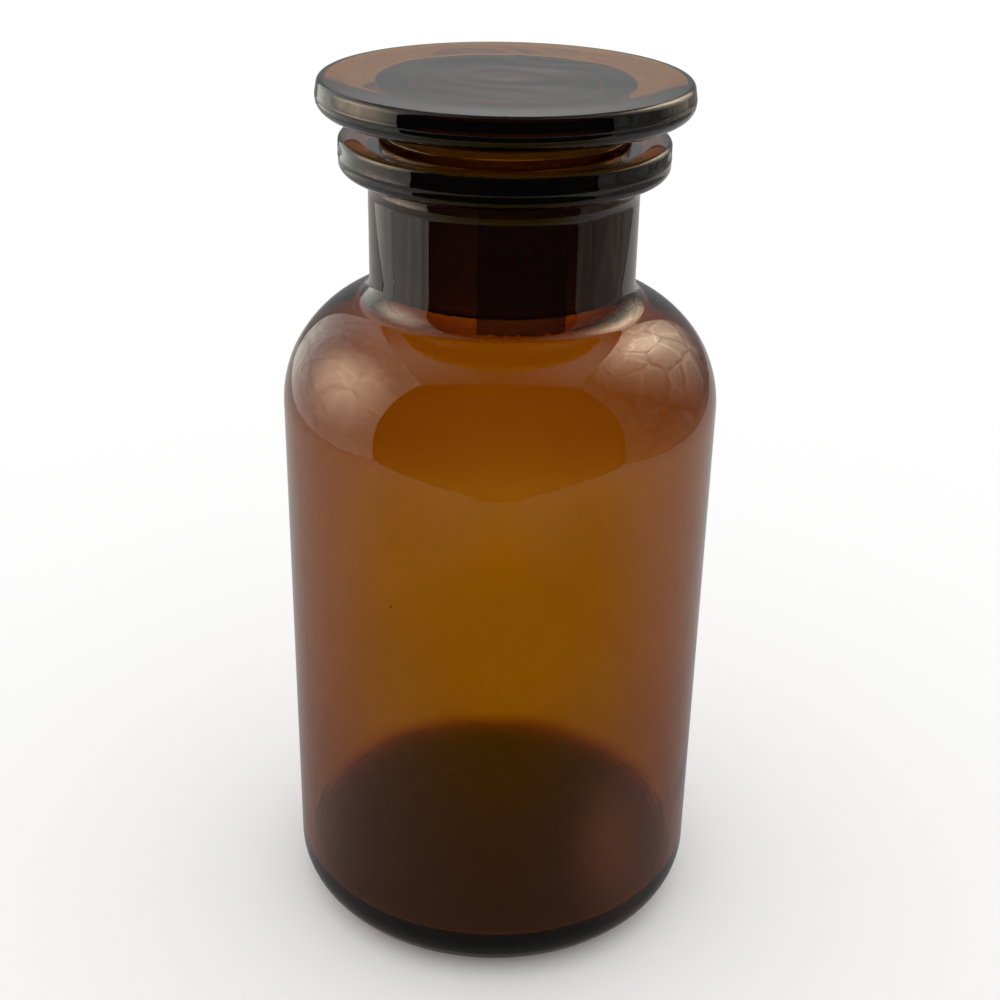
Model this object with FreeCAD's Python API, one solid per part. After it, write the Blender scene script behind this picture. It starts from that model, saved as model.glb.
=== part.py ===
"""Wide-mouth reagent bottle, nominal 500 ml, with a flat-headed ground-glass stopper.

Millimetres, +Z up. The origin is the centre of the ring that the bottle stands on. Both pieces are
bodies of revolution about Z. Each outline is a list of corners (radius, height, rounding), joined by
straight lines, with a tangent arc of the given rounding at every corner that has one.
"""
import FreeCAD
import Part
import math
import os

AXIS_POINT = FreeCAD.Vector(0, 0, 0)
AXIS = FreeCAD.Vector(0, 0, 1)

# Bottle, outside
BODY_RADIUS = 42.0
HEEL_ROUNDING = 9.9
SHOULDER_START_Z = 110.5
SHOULDER_ROUNDING = 21.8
SHOULDER_SLOPE = math.radians(22.1)
NECK_RADIUS = 25.1
NECK_ROUNDING = 4.8
FLANGE_RADIUS = 30.4
FLANGE_BOTTOM_Z = 155.4
FLANGE_TOP_Z = 161.6
FLANGE_LOWER_ROUNDING = 1.8
FLANGE_UPPER_ROUNDING = 0.9
FLANGE_ROOT_ROUNDING = 1.0
FLANGE_BEAD_WIDTH = 2.6
FLANGE_DISH_DEPTH = 0.7

# Bottle, base: it stands on a ring, and the middle is pushed up
FOOT_RING_INNER_RADIUS = 26.0
FOOT_RING_ROUNDING = 3.0
PUSH_UP_HEIGHT = 2.0

# Bottle, inside
WALL = 2.1
SHOULDER_WALL = 3.8
FLOOR_CENTRE_Z = 10.2
FLOOR_EDGE_Z = 8.0
INNER_HEEL_ROUNDING = 3.0
INNER_SHOULDER_ROUNDING = 23.0
SOCKET_END_ROUNDING = 3.0

# Ground joint, 45 mm at its wide end, with a 1:10 taper on the diameter
MOUTH_RADIUS = 22.5
RADIUS_PER_HEIGHT = 0.05
MOUTH_CHAMFER = 0.6
SOCKET_BOTTOM_Z = 131.5
JOINT_CLEARANCE = 0.05

# Stopper: its head is flat in the middle, falls away a little to a crisp edge, and is widest half way down
HEAD_RADIUS = 34.3
HEAD_BOTTOM_Z = 166.2
HEAD_TOP_Z = 172.5
HEAD_FLAT_RADIUS = 30.0
HEAD_FLAT_ROUNDING = 30.0
HEAD_EDGE_RADIUS = 33.8
HEAD_EDGE_Z = 172.0
HEAD_EDGE_ROUNDING = 1.2
HEAD_WIDEST_Z = 169.2
HEAD_LOWER_RADIUS = 34.0
HEAD_LOWER_ROUNDING = 2.4
STOPPER_NECK_RADIUS = 21.6
STOPPER_NECK_ROUNDING = 2.2
PLUG_TOP_Z = 162.2
PLUG_BOTTOM_Z = 133.4
PLUG_END_ROUNDING = 1.0
PLUG_TOP_ROUNDING = 0.3
PLUG_WALL = 2.6
HOLLOW_TOP_Z = 165.6
HOLLOW_TOP_RADIUS = 18.6
HOLLOW_TOP_ROUNDING = 4.5


def unit(start, end):
    """The direction from one corner to the next."""
    direction = end.sub(start)
    direction.normalize()
    return direction


def corner_arc(before, corner, after, rounding):
    """The three points of the arc that rounds a corner: its start, middle and end."""
    back = unit(corner, before)
    ahead = unit(corner, after)
    half_angle = back.getAngle(ahead) / 2
    reach = rounding / math.tan(half_angle)
    start = corner.add(FreeCAD.Vector(back).multiply(reach))
    end = corner.add(FreeCAD.Vector(ahead).multiply(reach))
    inward = back.add(ahead)
    inward.normalize()
    to_arc = rounding / math.sin(half_angle) - rounding
    middle = corner.add(inward.multiply(to_arc))
    return start, middle, end


def revolved(outline):
    """A solid of revolution about Z from a closed outline of (radius, height, rounding) corners."""
    corners = [FreeCAD.Vector(radius, 0, height) for radius, height, _ in outline]
    edges = []
    pieces = []
    for index, (_, _, rounding) in enumerate(outline):
        corner = corners[index]
        if rounding:
            before = corners[index - 1]
            after = corners[(index + 1) % len(corners)]
            pieces.append(corner_arc(before, corner, after, rounding))
        else:
            pieces.append((corner,))
    for index, piece in enumerate(pieces):
        if len(piece) == 3:
            edges.append(Part.Arc(*piece).toShape())
        following = pieces[(index + 1) % len(pieces)]
        edges.append(Part.LineSegment(piece[-1], following[0]).toShape())
    face = Part.Face(Part.Wire(edges))
    return face.revolve(AXIS_POINT, AXIS, 360)


def joint_radius(height):
    """Radius of the ground taper at a height."""
    return MOUTH_RADIUS - RADIUS_PER_HEIGHT * (FLANGE_TOP_Z - height)


def make_bottle():
    # The shoulder's two roundings meet on a short straight slope between the body and the neck.
    reach = SHOULDER_ROUNDING * math.tan((math.pi / 2 - SHOULDER_SLOPE) / 2)
    shoulder_corner_z = SHOULDER_START_Z + reach
    neck_corner_z = shoulder_corner_z + (BODY_RADIUS - NECK_RADIUS) * math.tan(SHOULDER_SLOPE)

    inner_radius = BODY_RADIUS - WALL
    slope_drop = SHOULDER_WALL / math.cos(SHOULDER_SLOPE)
    inner_shoulder_z = shoulder_corner_z + WALL * math.tan(SHOULDER_SLOPE) - slope_drop
    socket_end_radius = joint_radius(SOCKET_BOTTOM_Z)
    bead_inner_radius = FLANGE_RADIUS - FLANGE_BEAD_WIDTH
    dish_z = FLANGE_TOP_Z - FLANGE_DISH_DEPTH

    return revolved([
        (0, PUSH_UP_HEIGHT, 0),
        (FOOT_RING_INNER_RADIUS, 0, FOOT_RING_ROUNDING),
        (BODY_RADIUS, 0, HEEL_ROUNDING),
        (BODY_RADIUS, shoulder_corner_z, SHOULDER_ROUNDING),
        (NECK_RADIUS, neck_corner_z, NECK_ROUNDING),
        (NECK_RADIUS, FLANGE_BOTTOM_Z, FLANGE_ROOT_ROUNDING),
        (FLANGE_RADIUS, FLANGE_BOTTOM_Z, FLANGE_LOWER_ROUNDING),
        (FLANGE_RADIUS, FLANGE_TOP_Z, FLANGE_UPPER_ROUNDING),
        (bead_inner_radius, FLANGE_TOP_Z, 0),
        (MOUTH_RADIUS + MOUTH_CHAMFER, dish_z, 0),
        (joint_radius(dish_z - MOUTH_CHAMFER), dish_z - MOUTH_CHAMFER, 0),
        (socket_end_radius, SOCKET_BOTTOM_Z, SOCKET_END_ROUNDING),
        (inner_radius, inner_shoulder_z, INNER_SHOULDER_ROUNDING),
        (inner_radius, FLOOR_EDGE_Z, INNER_HEEL_ROUNDING),
        (0, FLOOR_CENTRE_Z, 0),
    ])


def make_stopper():
    plug_top_radius = joint_radius(PLUG_TOP_Z) - JOINT_CLEARANCE
    plug_end_radius = joint_radius(PLUG_BOTTOM_Z) - JOINT_CLEARANCE
    return revolved([
        (0, HEAD_TOP_Z, 0),
        (0, HOLLOW_TOP_Z, 0),
        (HOLLOW_TOP_RADIUS, HOLLOW_TOP_Z, HOLLOW_TOP_ROUNDING),
        (plug_end_radius - PLUG_WALL, PLUG_BOTTOM_Z, PLUG_END_ROUNDING),
        (plug_end_radius, PLUG_BOTTOM_Z, PLUG_END_ROUNDING),
        (plug_top_radius, PLUG_TOP_Z, PLUG_TOP_ROUNDING),
        (STOPPER_NECK_RADIUS, PLUG_TOP_Z + plug_top_radius - STOPPER_NECK_RADIUS, 0),
        (STOPPER_NECK_RADIUS, HEAD_BOTTOM_Z, STOPPER_NECK_ROUNDING),
        (HEAD_LOWER_RADIUS, HEAD_BOTTOM_Z, HEAD_LOWER_ROUNDING),
        (HEAD_RADIUS, HEAD_WIDEST_Z, 0),
        (HEAD_EDGE_RADIUS, HEAD_EDGE_Z, HEAD_EDGE_ROUNDING),
        (HEAD_FLAT_RADIUS, HEAD_TOP_Z, HEAD_FLAT_ROUNDING),
    ])


def main():
    os.makedirs("parts", exist_ok=True)
    pieces = {
        "bottle": make_bottle(),
        "stopper": make_stopper(),
    }
    for node, shape in pieces.items():
        shape.exportStep(f"parts/{node}.step")


main()
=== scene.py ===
"""Looks for a wide-mouth amber reagent bottle with a ground-glass stopper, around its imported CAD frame."""
import math

import bpy
from mathutils import Matrix, Vector, noise


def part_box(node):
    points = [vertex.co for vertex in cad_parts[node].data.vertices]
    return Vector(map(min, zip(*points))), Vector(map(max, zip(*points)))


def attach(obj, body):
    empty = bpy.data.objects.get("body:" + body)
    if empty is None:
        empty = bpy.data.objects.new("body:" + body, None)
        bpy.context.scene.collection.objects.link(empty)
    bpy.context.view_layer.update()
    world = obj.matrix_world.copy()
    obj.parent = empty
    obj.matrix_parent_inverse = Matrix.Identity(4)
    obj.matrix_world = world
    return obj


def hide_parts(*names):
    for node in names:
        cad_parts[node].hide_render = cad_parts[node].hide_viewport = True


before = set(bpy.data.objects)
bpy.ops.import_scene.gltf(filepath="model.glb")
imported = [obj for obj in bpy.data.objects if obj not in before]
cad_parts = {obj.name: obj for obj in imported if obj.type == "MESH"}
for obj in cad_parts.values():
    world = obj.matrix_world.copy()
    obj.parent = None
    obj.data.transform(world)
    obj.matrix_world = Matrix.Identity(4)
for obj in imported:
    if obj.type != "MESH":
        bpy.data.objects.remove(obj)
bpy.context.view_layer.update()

MM = 0.001
BOTTLE_LOW, BOTTLE_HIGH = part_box("bottle")
STOPPER_LOW, STOPPER_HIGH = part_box("stopper")
BODY_RADIUS = BOTTLE_HIGH.x / MM
FLANGE_TOP = BOTTLE_HIGH.z / MM
HEAD_RADIUS = STOPPER_HIGH.x / MM
HEAD_TOP = STOPPER_HIGH.z / MM
HEAD_WIDEST = HEAD_TOP - 3.3
PLUG_BOTTOM = STOPPER_LOW.z / MM

# Ground joint: 45 mm wide at the mouth, 1:10 taper on the diameter
MOUTH_RADIUS = 22.5
RADIUS_PER_HEIGHT = 0.05
JOINT_CLEARANCE = 0.05
SOCKET_BOTTOM = PLUG_BOTTOM - 1.9
GROUND_BOTTOM = PLUG_BOTTOM + 0.3
PLUG_TOP = FLANGE_TOP + 0.6

# Bottle's outline, in mm
PUSH_UP = 2.0
FOOT_RING_RADIUS, FOOT_RING_ROUNDING = 26.0, 3.0
HEEL_ROUNDING = 9.9
SHOULDER_START, SHOULDER_ROUNDING, SHOULDER_SLOPE = 110.5, 21.8, math.radians(22.1)
NECK_RADIUS, NECK_ROUNDING = 25.1, 4.8
FLANGE_RADIUS, FLANGE_BOTTOM = 30.4, 155.4
FLANGE_ROOT_ROUNDING, FLANGE_LOWER_ROUNDING, FLANGE_UPPER_ROUNDING = 1.0, 1.8, 0.9
BEAD_WIDTH, DISH_DEPTH, MOUTH_CHAMFER = 2.6, 0.7, 0.6
NECK_RIDGE_HEIGHT, NECK_RIDGE_PROUD, NECK_RIDGE_WIDTH = 152.9, 0.12, 0.5
FLANGE_RIDGE_HEIGHT, FLANGE_RIDGE_PROUD, FLANGE_RIDGE_WIDTH = 158.4, 0.05, 0.4
WALL, SHOULDER_WALL = 2.1, 3.8
INNER_SHOULDER_ROUNDING, SOCKET_END_ROUNDING = 23.0, 3.0
FLOOR_EDGE, FLOOR_CENTRE, INNER_HEEL_ROUNDING = 8.0, 10.2, 3.0

# Stopper's outline, in mm
HOLLOW_TOP, HOLLOW_RADIUS, HOLLOW_ROUNDING = 165.6, 18.6, 4.5
PLUG_WALL, PLUG_END_ROUNDING, PLUG_TOP_ROUNDING = 2.6, 1.0, 0.3
STOPPER_NECK_RADIUS, STOPPER_NECK_ROUNDING = 21.6, 2.2
HEAD_DEPTH = 6.3
HEAD_LOWER_RADIUS, HEAD_LOWER_ROUNDING = 34.0, 2.4
HEAD_EDGE_RADIUS, HEAD_EDGE_DROP, HEAD_EDGE_ROUNDING = 33.8, 0.5, 1.2
HEAD_FLAT_RADIUS, HEAD_FLAT_ROUNDING = 30.0, 30.0

# The camera's place and view, with its slight tilt
CAMERA_DISTANCE = 0.2900
CAMERA_HEIGHT = 0.2294
CAMERA_PITCH = math.radians(26.07)
CAMERA_YAW = math.radians(0.07)
CAMERA_ROLL = math.radians(1.11)
CAMERA_LENS = 57.5
CAMERA_SENSOR = 36.0

AROUND = 192
ARC_STEP = math.radians(4)
RUN_STEP = 1.6


# ---------------------------------------------------------------- outlines

def joint_radius(height):
    """Radius of the ground taper at a height, in mm."""
    return MOUTH_RADIUS - RADIUS_PER_HEIGHT * (FLANGE_TOP - height)


def ridge(radius, height, proud, width):
    """Corners of a small raised line round a vertical wall, going up."""
    half = width / 2
    return [
        (radius, height - half, 0),
        (radius + proud, height - half / 3, 0),
        (radius + proud, height + half / 3, 0),
        (radius, height + half, 0),
    ]


def round_corner(before, corner, after, rounding):
    """Points of the tangent arc that rounds a corner."""
    back = (before - corner).normalized()
    ahead = (after - corner).normalized()
    half = back.angle(ahead) / 2
    reach = rounding / math.tan(half)
    centre = corner + (back + ahead).normalized() * (rounding / math.sin(half))
    start = corner + back * reach - centre
    end = corner + ahead * reach - centre
    turn = start.angle_signed(end)
    steps = max(3, math.ceil(abs(turn) / ARC_STEP))
    points = []
    for i in range(steps + 1):
        angle = -turn * i / steps
        cos, sin = math.cos(angle), math.sin(angle)
        points.append(centre + Vector((start.x * cos - start.y * sin, start.x * sin + start.y * cos)))
    return points


def outline_points(corners):
    """Points along an open outline of (radius, height, rounding) corners, in mm."""
    flat = [Vector((radius, height)) for radius, height, _ in corners]
    turned = []
    for i, (_, _, rounding) in enumerate(corners):
        if rounding:
            turned += round_corner(flat[i - 1], flat[i], flat[i + 1], rounding)
        else:
            turned.append(flat[i])
    points = [turned[0]]
    for end in turned[1:]:
        start = points[-1]
        pieces = max(1, math.ceil((end - start).length / RUN_STEP))
        points += [start.lerp(end, k / pieces) for k in range(1, pieces + 1)]
    return points


def bottle_outline():
    """Corners of the bottle's outline, up the outside from the axis and down the inside."""
    reach = SHOULDER_ROUNDING * math.tan((math.pi / 2 - SHOULDER_SLOPE) / 2)
    corner_z = SHOULDER_START + reach
    neck_z = corner_z + (BODY_RADIUS - NECK_RADIUS) * math.tan(SHOULDER_SLOPE)
    inner = BODY_RADIUS - WALL
    inner_z = corner_z + WALL * math.tan(SHOULDER_SLOPE) - SHOULDER_WALL / math.cos(SHOULDER_SLOPE)
    dish_z = FLANGE_TOP - DISH_DEPTH
    throat_z = dish_z - MOUTH_CHAMFER
    neck_ridge = ridge(NECK_RADIUS, NECK_RIDGE_HEIGHT, NECK_RIDGE_PROUD, NECK_RIDGE_WIDTH)
    flange_ridge = ridge(FLANGE_RADIUS, FLANGE_RIDGE_HEIGHT, FLANGE_RIDGE_PROUD, FLANGE_RIDGE_WIDTH)
    return [
        (0, PUSH_UP, 0),
        (FOOT_RING_RADIUS, 0, FOOT_RING_ROUNDING),
        (BODY_RADIUS, 0, HEEL_ROUNDING),
        (BODY_RADIUS, corner_z, SHOULDER_ROUNDING),
        (NECK_RADIUS, neck_z, NECK_ROUNDING),
        *neck_ridge,
        (NECK_RADIUS, FLANGE_BOTTOM, FLANGE_ROOT_ROUNDING),
        (FLANGE_RADIUS, FLANGE_BOTTOM, FLANGE_LOWER_ROUNDING),
        *flange_ridge,
        (FLANGE_RADIUS, FLANGE_TOP, FLANGE_UPPER_ROUNDING),
        (FLANGE_RADIUS - BEAD_WIDTH, FLANGE_TOP, 0),
        (MOUTH_RADIUS + MOUTH_CHAMFER, dish_z, 0),
        (joint_radius(throat_z), throat_z, 0),
        (joint_radius(SOCKET_BOTTOM), SOCKET_BOTTOM, SOCKET_END_ROUNDING),
        (inner, inner_z, INNER_SHOULDER_ROUNDING),
        (inner, FLOOR_EDGE, INNER_HEEL_ROUNDING),
        (0, FLOOR_CENTRE, 0),
    ]


def stopper_outline():
    """Corners of the stopper's outline, down the hollow from the axis and up the outside."""
    plug_top = joint_radius(PLUG_TOP) - JOINT_CLEARANCE
    plug_end = joint_radius(PLUG_BOTTOM) - JOINT_CLEARANCE
    head_bottom = HEAD_TOP - HEAD_DEPTH
    return [
        (0, HOLLOW_TOP, 0),
        (HOLLOW_RADIUS, HOLLOW_TOP, HOLLOW_ROUNDING),
        (plug_end - PLUG_WALL, PLUG_BOTTOM, PLUG_END_ROUNDING),
        (plug_end, PLUG_BOTTOM, PLUG_END_ROUNDING),
        (plug_top, PLUG_TOP, PLUG_TOP_ROUNDING),
        (STOPPER_NECK_RADIUS, PLUG_TOP + plug_top - STOPPER_NECK_RADIUS, 0),
        (STOPPER_NECK_RADIUS, head_bottom, STOPPER_NECK_ROUNDING),
        (HEAD_LOWER_RADIUS, head_bottom, HEAD_LOWER_ROUNDING),
        (HEAD_RADIUS, HEAD_WIDEST, 0),
        (HEAD_EDGE_RADIUS, HEAD_TOP - HEAD_EDGE_DROP, HEAD_EDGE_ROUNDING),
        (HEAD_FLAT_RADIUS, HEAD_TOP, HEAD_FLAT_ROUNDING),
        (0, HEAD_TOP, 0),
    ]


# ---------------------------------------------------------------- surfaces

def head_waves(point):
    """Height of the shallow cooling waves on the stopper's flat top, in mm."""
    radius = math.hypot(point.x, point.y)
    if point.z < HEAD_TOP - 0.5 or radius > HEAD_RADIUS - 2:
        return 0.0
    fade = min(1.0, (HEAD_RADIUS - 2 - radius) / 6)
    swirl = noise.noise(Vector((point.x / 18, point.y / 18, 3.7)))
    rings = math.sin(radius * 0.8 + 9 * swirl) * math.exp(-((radius / 18) ** 2))
    rough = noise.noise(Vector((point.x / 16, point.y / 12, 11.3)))
    return fade * (0.08 * rings + 0.16 * rough)


def wall_waves(point):
    """Unevenness of the bottle's inner wall, in mm."""
    radius = math.hypot(point.x, point.y)
    inside = radius < BODY_RADIUS - 2 and 5 < point.z < SOCKET_BOTTOM - 4
    if not inside:
        return 0.0
    return 0.12 * noise.noise(point / 24) + 0.05 * noise.noise(point / 9)


def revolve(name, corners, waves, wave_axis):
    """A closed mesh turned about Z from an outline that starts and ends on the axis."""
    outline = outline_points(corners)
    vertices = []
    faces = []
    rows = []
    for point in outline:
        if point.x < 1e-6:
            rows.append([len(vertices)])
            vertices.append(Vector((0, 0, point.y)))
            continue
        rows.append(list(range(len(vertices), len(vertices) + AROUND)))
        for k in range(AROUND):
            angle = 2 * math.pi * k / AROUND
            vertices.append(Vector((point.x * math.cos(angle), point.x * math.sin(angle), point.y)))
    for low, high in zip(rows, rows[1:]):
        for k in range(AROUND):
            following = (k + 1) % AROUND
            if len(low) == 1:
                faces.append((low[0], high[following], high[k]))
            elif len(high) == 1:
                faces.append((low[k], low[following], high[0]))
            else:
                faces.append((low[k], low[following], high[following], high[k]))
    for vertex in vertices:
        lift = waves(vertex)
        if wave_axis == "radial":
            outward = Vector((vertex.x, vertex.y, 0)).normalized()
        else:
            outward = Vector((0, 0, 1))
        vertex += outward * lift
    mesh = bpy.data.meshes.new(name)
    mesh.from_pydata([vertex * MM for vertex in vertices], [], faces)
    mesh.validate()
    mesh.shade_smooth()
    piece = bpy.data.objects.new(name, mesh)
    bpy.context.scene.collection.objects.link(piece)
    return piece


# ---------------------------------------------------------------- materials

class Nodes:
    """A short way to write a node tree."""

    def __init__(self, tree):
        self.tree = tree
        self.tree.nodes.clear()

    def add(self, kind, **settings):
        """A node, with its own settings given by name."""
        node = self.tree.nodes.new(kind)
        for key, value in settings.items():
            setattr(node, key, value)
        return node

    def feed(self, target, source):
        """Joins another node's output to an input, or sets the input to a plain value."""
        if isinstance(source, bpy.types.NodeSocket):
            self.tree.links.new(source, target)
        else:
            target.default_value = source

    def calc(self, operation, *sources):
        """The result of a maths node."""
        node = self.add("ShaderNodeMath", operation=operation)
        for target, source in zip(node.inputs, sources):
            self.feed(target, source)
        return node.outputs[0]

    def product(self, *factors):
        """Everything given, multiplied together."""
        total = factors[0]
        for factor in factors[1:]:
            total = self.calc("MULTIPLY", total, factor)
        return total

    def combine(self, operation, *sources):
        """The result of a vector maths node."""
        node = self.add("ShaderNodeVectorMath", operation=operation)
        for target, source in zip(node.inputs, sources):
            self.feed(target, source)
        return node.outputs["Value" if operation in ("LENGTH", "DISTANCE") else "Vector"]

    def scaled(self, vector, factor):
        """A vector times a number."""
        node = self.add("ShaderNodeVectorMath", operation="SCALE")
        self.feed(node.inputs["Vector"], vector)
        self.feed(node.inputs["Scale"], factor)
        return node.outputs["Vector"]

    def noise(self, place, scale, detail=2.0):
        """Soft noise from 0 to 1."""
        node = self.add("ShaderNodeTexNoise")
        self.feed(node.inputs["Vector"], place)
        self.feed(node.inputs["Scale"], scale)
        self.feed(node.inputs["Detail"], detail)
        return node.outputs["Fac"]

    def cells(self, place, scale, feature):
        """Distance in a field of random cells."""
        node = self.add("ShaderNodeTexVoronoi", feature=feature)
        self.feed(node.inputs["Vector"], place)
        self.feed(node.inputs["Scale"], scale)
        return node.outputs["Distance"]

    def fall(self, value, end, first=1.0, last=0.0):
        """A smooth change from the first value at 0 to the last one at the end."""
        node = self.add("ShaderNodeMapRange", interpolation_type="SMOOTHSTEP")
        self.feed(node.inputs["Value"], value)
        self.feed(node.inputs["From Max"], end)
        self.feed(node.inputs["To Min"], first)
        self.feed(node.inputs["To Max"], last)
        return node.outputs["Result"]


ABSORPTION_COLOUR = (0.793, 0.617, 0.02, 1)
BOTTLE_DENSITY = 1500.0
STOPPER_DENSITY = 720.0
GLASS_IOR = 1.52
POLISHED = 0.012
GROUND_ROUGHNESS = 0.55
GROUND_TINT = 0.40
PRESSED_ROUGHNESS = 0.12
# Darkest tint of the pressed zones: painted shade under the bottle's base and inside the stopper's hollow.
PAINTED_SHADE_TINT = 0.35

RAGGED_SCALE = 900.0
RAGGED_DEPTH = 1.6
# A darker sector at the front of the ground ring, which also reaches a little lower
TONGUE_LEFT, TONGUE_RIGHT = -4.2, 10.7
TONGUE_LENGTH = 3.2
TONGUE_TINT = 0.72
GRAIN_SCALE = 2600.0
GRAIN_DEPTH = 0.03
CHIP_SCALE = 1300.0
CHIP_DEPTH = 0.5
STRIA_STRETCH = (38.0, 38.0, 15.0)
STRIA_DEPTH = 0.03
SEED_SPACING = 15.0
SEED_RADIUS = 0.45
SEED_DEPTH = 0.12
SEAM_DEPTH = 0.06
SEAM_HALF_WIDTH = 0.35


def within(nodes, radius, height, limits):
    """1 where a radius and a height lie within (low, high, inner, outer) limits in mm, otherwise 0."""
    low, high, inner, outer = limits
    return nodes.product(
        nodes.calc("GREATER_THAN", height, low * MM),
        nodes.calc("LESS_THAN", height, high * MM),
        nodes.calc("GREATER_THAN", radius, inner * MM),
        nodes.calc("LESS_THAN", radius, outer * MM),
    )


def relief(nodes, place, height, ground, chipped, seams):
    """Height of the surface's fine relief, in mm: ground grain, chips, striae, seeds and seam lines."""
    grain = nodes.product(nodes.noise(place, GRAIN_SCALE), ground, GRAIN_DEPTH)
    chips = nodes.product(nodes.noise(place, CHIP_SCALE), chipped, CHIP_DEPTH)
    grain = nodes.calc("ADD", grain, chips)
    stretched = nodes.combine("MULTIPLY", place, STRIA_STRETCH)
    striae = nodes.product(nodes.noise(stretched, 1.0), STRIA_DEPTH)
    centre_distance = nodes.cells(place, 1 / (SEED_SPACING * MM), "F1")
    seeds = nodes.product(nodes.fall(centre_distance, SEED_RADIUS / SEED_SPACING), SEED_DEPTH)
    total = nodes.calc("ADD", nodes.calc("ADD", grain, striae), seeds)
    for seam in seams:
        away = nodes.calc("ABSOLUTE", nodes.calc("SUBTRACT", height, seam * MM))
        line = nodes.product(nodes.fall(away, SEAM_HALF_WIDTH * MM), SEAM_DEPTH)
        total = nodes.calc("ADD", total, line)
    return total


def amber_glass(name, density, ground_zone, chipped_zone, pressed_and_shaded_zone, seams):
    """Clear amber glass: matt and chipped where it's ground, less even where pressed and darkened there with
    painted shade, clear elsewhere.
    """
    material = bpy.data.materials.new(name)
    material.use_nodes = True
    nodes = Nodes(material.node_tree)
    output = nodes.add("ShaderNodeOutputMaterial")
    glass = nodes.add("ShaderNodeBsdfPrincipled")
    nodes.feed(glass.inputs["IOR"], GLASS_IOR)
    nodes.feed(glass.inputs["Transmission Weight"], 1.0)
    absorption = nodes.add("ShaderNodeVolumeAbsorption")
    nodes.feed(absorption.inputs["Color"], ABSORPTION_COLOUR)
    nodes.feed(absorption.inputs["Density"], density)
    nodes.feed(output.inputs["Surface"], glass.outputs["BSDF"])
    nodes.feed(output.inputs["Volume"], absorption.outputs["Volume"])

    place = nodes.add("ShaderNodeTexCoord").outputs["Object"]
    split = nodes.add("ShaderNodeSeparateXYZ")
    nodes.feed(split.inputs[0], place)
    height = split.outputs["Z"]
    radius = nodes.combine("LENGTH", nodes.combine("MULTIPLY", place, (1, 1, 0)))
    jitter = nodes.calc("SUBTRACT", nodes.noise(place, RAGGED_SCALE, 3.0), 0.5)
    ragged_height = nodes.calc("ADD", height, nodes.product(jitter, RAGGED_DEPTH * MM))
    ahead = nodes.calc("LESS_THAN", split.outputs["Y"], 0.0)
    from_left = nodes.calc("GREATER_THAN", split.outputs["X"], TONGUE_LEFT * MM)
    to_right = nodes.calc("LESS_THAN", split.outputs["X"], TONGUE_RIGHT * MM)
    tongue_front = nodes.product(ahead, from_left, to_right)
    low, high, inner, outer = ground_zone
    tongue_zone = (low - TONGUE_LENGTH, high, inner, outer)
    tongue = nodes.product(tongue_front, within(nodes, radius, ragged_height, tongue_zone))
    full_ring = within(nodes, radius, ragged_height, ground_zone)
    ground = nodes.calc("MAXIMUM", full_ring, tongue)
    chipped = within(nodes, radius, height, chipped_zone)
    pressed_and_shaded = within(nodes, radius, height, pressed_and_shaded_zone)

    extra_ground = nodes.product(ground, GROUND_ROUGHNESS)
    extra_pressed = nodes.product(pressed_and_shaded, PRESSED_ROUGHNESS)
    roughness = nodes.calc("ADD", nodes.calc("ADD", extra_ground, extra_pressed), POLISHED)
    nodes.feed(glass.inputs["Roughness"], roughness)

    tint = 1.0
    # The pressed zones' darkening is painted shade under the base and inside the stopper's hollow.
    for zone, darkest in ((ground, GROUND_TINT), (pressed_and_shaded, PAINTED_SHADE_TINT), (tongue, TONGUE_TINT)):
        tint = nodes.calc("SUBTRACT", tint, nodes.product(zone, 1 - darkest))
    colour = nodes.add("ShaderNodeCombineColor")
    for channel in colour.inputs:
        nodes.feed(channel, tint)
    nodes.feed(glass.inputs["Base Color"], colour.outputs[0])

    bump = nodes.add("ShaderNodeBump")
    nodes.feed(bump.inputs["Strength"], 1.0)
    nodes.feed(bump.inputs["Distance"], MM)
    nodes.feed(bump.inputs["Height"], relief(nodes, place, height, ground, chipped, seams))
    nodes.feed(glass.inputs["Normal"], bump.outputs["Normal"])
    return material


# ---------------------------------------------------------------- pieces

def make_bottle():
    piece = revolve("amber_bottle", bottle_outline(), wall_waves, "radial")
    socket = (GROUND_BOTTOM, FLANGE_TOP - 0.8, 15, MOUTH_RADIUS + 0.7)
    lip = (FLANGE_TOP - 2.4, FLANGE_TOP - 0.8, 15, MOUTH_RADIUS + 0.7)
    # The underside is made less even and darkened with painted shade under the base.
    under = (-1, 3, 0, 24)
    heel_seams = (3.0, 5.5)
    piece.data.materials.append(
        amber_glass("bottle_glass", BOTTLE_DENSITY, socket, lip, under, heel_seams)
    )
    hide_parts("bottle")
    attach(piece, "bottle")


def make_stopper():
    piece = revolve("amber_stopper", stopper_outline(), head_waves, "up")
    plug = (GROUND_BOTTOM, FLANGE_TOP - 1.4, 20, 23.5)
    plug_end = (PLUG_BOTTOM - 1, PLUG_BOTTOM + 1, 20, 23.5)
    # The hollow is made less even and darkened with painted shade inside the stopper.
    hollow = (PLUG_BOTTOM + 2, HEAD_TOP - 6, 0, 19)
    seams = (HEAD_WIDEST,)
    piece.data.materials.append(
        amber_glass("stopper_glass", STOPPER_DENSITY, plug, plug_end, hollow, seams)
    )
    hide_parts("stopper")
    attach(piece, "stopper")


# ---------------------------------------------------------------- studio

def plane(name, corners, material):
    mesh = bpy.data.meshes.new(name)
    mesh.from_pydata(corners, [], [tuple(range(len(corners)))])
    piece = bpy.data.objects.new(name, mesh)
    bpy.context.scene.collection.objects.link(piece)
    mesh.materials.append(material)
    return piece


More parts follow.
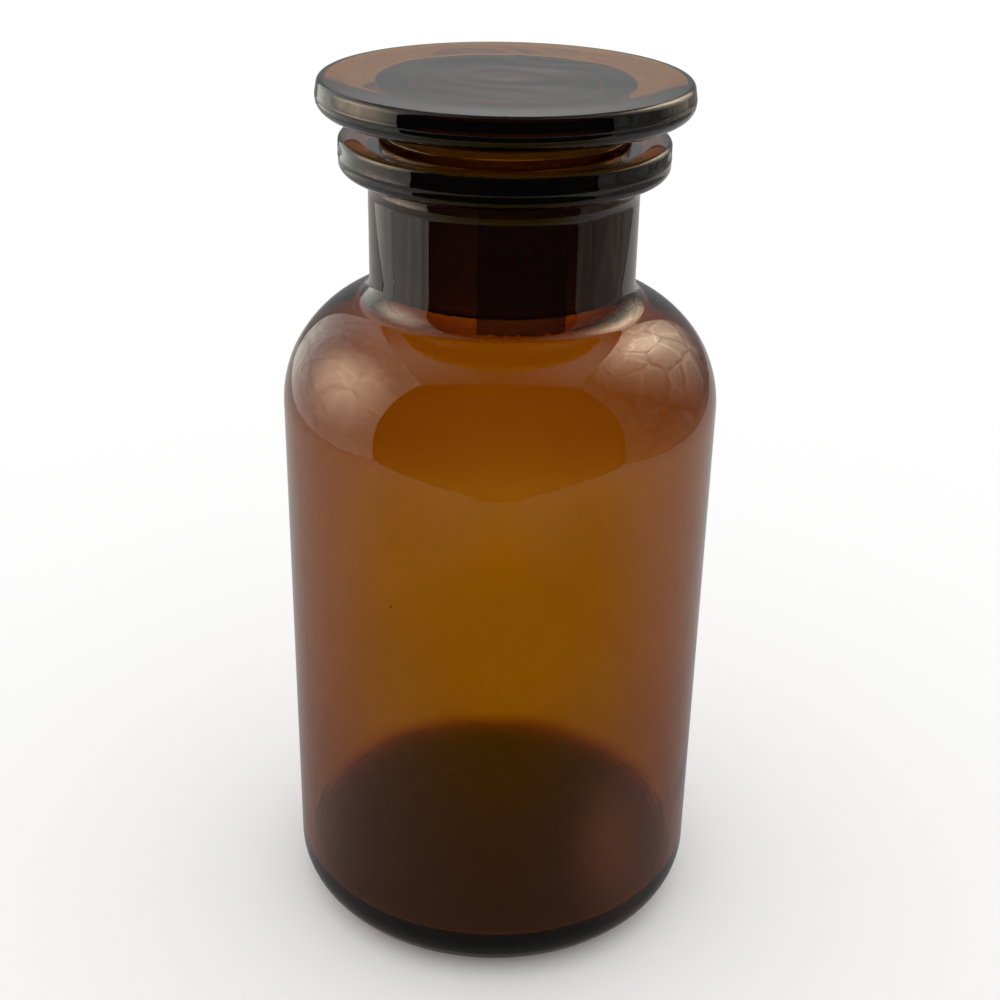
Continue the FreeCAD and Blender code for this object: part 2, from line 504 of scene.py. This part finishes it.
def glow(name, base, spots, crease_shading=0.0):
    """Light cloth: an even glow, soft spots given as (place, size, colour), where negative colours paint
    shade, and painted shade and highlight along crease lines across it.
    """
    material = bpy.data.materials.new(name)
    material.use_nodes = True
    nodes = Nodes(material.node_tree)
    output = nodes.add("ShaderNodeOutputMaterial")
    emission = nodes.add("ShaderNodeEmission")
    nodes.feed(output.inputs["Surface"], emission.outputs[0])
    place = nodes.add("ShaderNodeNewGeometry").outputs["Position"]
    total = nodes.combine("ADD", base, (0, 0, 0))
    for centre, size, colour in spots:
        nearness = nodes.fall(nodes.combine("DISTANCE", place, centre), size)
        total = nodes.combine("ADD", total, nodes.scaled(colour, nearness))
    if crease_shading:
        bent = nodes.combine("ADD", place, nodes.scaled((0.12, 0.12, 0.12), nodes.noise(place, 4.0)))
        # Painted shade along one net of crease lines and painted highlight along another.
        dark = nodes.fall(nodes.cells(bent, 4.5, "DISTANCE_TO_EDGE"), 0.06, 1 - crease_shading, 1.0)
        bright = nodes.fall(nodes.cells(bent, 6.5, "DISTANCE_TO_EDGE"), 0.08, 1 + crease_shading, 1.0)
        total = nodes.scaled(total, nodes.product(dark, bright))
    nodes.feed(emission.inputs["Color"], nodes.combine("MAXIMUM", total, (0, 0, 0)))
    return material


def only_reflected(piece):
    """The tent shows in reflections but doesn't hide the object from a camera outside it."""
    piece.visible_camera = False
    piece.visible_transmission = False
    piece.visible_diffuse = False
    piece.visible_shadow = False


def make_tent():
    """A light tent of cloth walls round the bottle, open at the front towards a dark room."""
    half, front, back, top = 0.37, -0.19, 0.64, 0.69
    side_light = (0.6, 0.6, 0.6)
    left = plane(
        "tent_left",
        [(-half, front, 0), (-half, back, 0), (-half, back, top), (-half, front, top)],
        glow(
            "cloth_left",
            (0.88, 0.86, 0.80),
            [
                ((-half, 0.03, 0.30), 0.27, (4.3, 3.2, 2.2)),
                ((-half, 0.45, 0.10), 0.40, (0.6, 0.6, 0.5)),
            ],
            0.22,
        ),
    )
    right = plane(
        "tent_right",
        [(half, front, 0), (half, back, 0), (half, back, top), (half, front, top)],
        glow(
            "cloth_right",
            (0.25, 0.24, 0.21),
            [((half, 0.34, 0.52), 0.48, (4.4, 3.5, 2.5)), ((half, 0.30, 0.46), 0.18, (2.4, 2.0, 1.5))],
            0.4,
        ),
    )
    roof = plane(
        "tent_roof",
        [(-half, front, top), (half, front, top), (half, back, top), (-half, back, top)],
        glow(
            "cloth_roof",
            (0.1, 0.1, 0.1),
            [((-half, 0.1, top), 0.45, side_light), ((half, 0.1, top), 0.45, side_light)],
        ),
    )
    rear = plane(
        "tent_rear",
        [(-half, back, 0), (half, back, 0), (half, back, top), (-half, back, top)],
        glow("cloth_rear", (0.28, 0.29, 0.29), [((0, back, 0.65), 0.45, (1.2, 1.16, 1.1))]),
    )
    sill, level = 0.265, -0.002
    across = [half * (step / 16 - 1) for step in range(33)]
    front_edge = [(x, front - (sill + front) * (1 - (x / half) ** 2) ** 2, level) for x in across]
    mat = plane(
        "tent_mat",
        front_edge + [(half, back, level), (-half, back, level)],
        glow(
            "cloth_mat",
            (0.55, 0.53, 0.50),
            [
                # The mat glows in place of the lamp light it would reflect. Its darker spots near the bottle
                # are painted shadow of the bottle and the photographer, and the spots ahead and at the front
                # corners make it warmer and darker.
                ((0.02, -0.12, 0), 0.34, (-0.33, -0.34, -0.28)),
                ((0, -0.06, 0), 0.12, (-0.10, -0.09, -0.12)),
                ((-0.15, -0.15, 0), 0.15, (-0.06, -0.08, -0.28)),
                ((0, -0.20, 0), 0.15, (0.02, -0.04, -0.30)),
                ((0.15, -0.15, 0), 0.15, (-0.06, -0.08, -0.28)),
                # Painted amber light cast through the glass onto the mat beside the bottle.
                ((0.062, -0.048, 0), 0.035, (0.55, 0.17, 0.06)),
            ],
        ),
    )
    room = plane(
        "room_front",
        [(-2, -1, -1), (2, -1, -1), (2, -1, 2), (-2, -1, 2)],
        glow("room", (0.03, 0.03, 0.03), []),
    )
    for piece in (left, right, roof, rear, mat, room):
        only_reflected(piece)


def make_floor():
    material = bpy.data.materials.new("pale_floor")
    material.use_nodes = True
    shader = material.node_tree.nodes["Principled BSDF"]
    shader.inputs["Base Color"].default_value = (0.92, 0.92, 0.92, 1)
    shader.inputs["Roughness"].default_value = 0.9
    shader.inputs["Specular IOR Level"].default_value = 0.0
    reach = 4.0
    level = BOTTLE_LOW.z - 0.1 * MM
    floor = plane(
        "floor",
        [(-reach, -reach, level), (reach, -reach, level), (reach, reach, level), (-reach, reach, level)],
        material,
    )
    floor.visible_glossy = False


def make_world():
    world = bpy.data.worlds.new("studio")
    bpy.context.scene.world = world
    world.use_nodes = True
    background = world.node_tree.nodes["Background"]
    background.inputs["Color"].default_value = (1, 1, 1, 1)
    background.inputs["Strength"].default_value = 1.1
    world.cycles_visibility.glossy = False


def make_camera():
    data = bpy.data.cameras.new("camera")
    data.lens = CAMERA_LENS
    data.sensor_width = CAMERA_SENSOR
    data.clip_start = 0.01
    camera = bpy.data.objects.new("camera", data)
    bpy.context.scene.collection.objects.link(camera)
    turn = (
        Matrix.Rotation(-CAMERA_YAW, 4, "Z")
        @ Matrix.Rotation(math.pi / 2 - CAMERA_PITCH, 4, "X")
        @ Matrix.Rotation(CAMERA_ROLL, 4, "Z")
    )
    camera.matrix_world = Matrix.Translation((0, -CAMERA_DISTANCE, CAMERA_HEIGHT)) @ turn
    bpy.context.scene.camera = camera


def set_light_paths():
    cycles = bpy.context.scene.cycles
    cycles.max_bounces = 32
    cycles.transmission_bounces = 32
    cycles.glossy_bounces = 16
    cycles.diffuse_bounces = 4
    cycles.caustics_reflective = True
    cycles.caustics_refractive = True
    cycles.blur_glossy = 0.1
    bpy.context.scene.view_settings.view_transform = "Standard"


make_camera()
make_world()
make_floor()
make_tent()
make_bottle()
make_stopper()
set_light_paths()
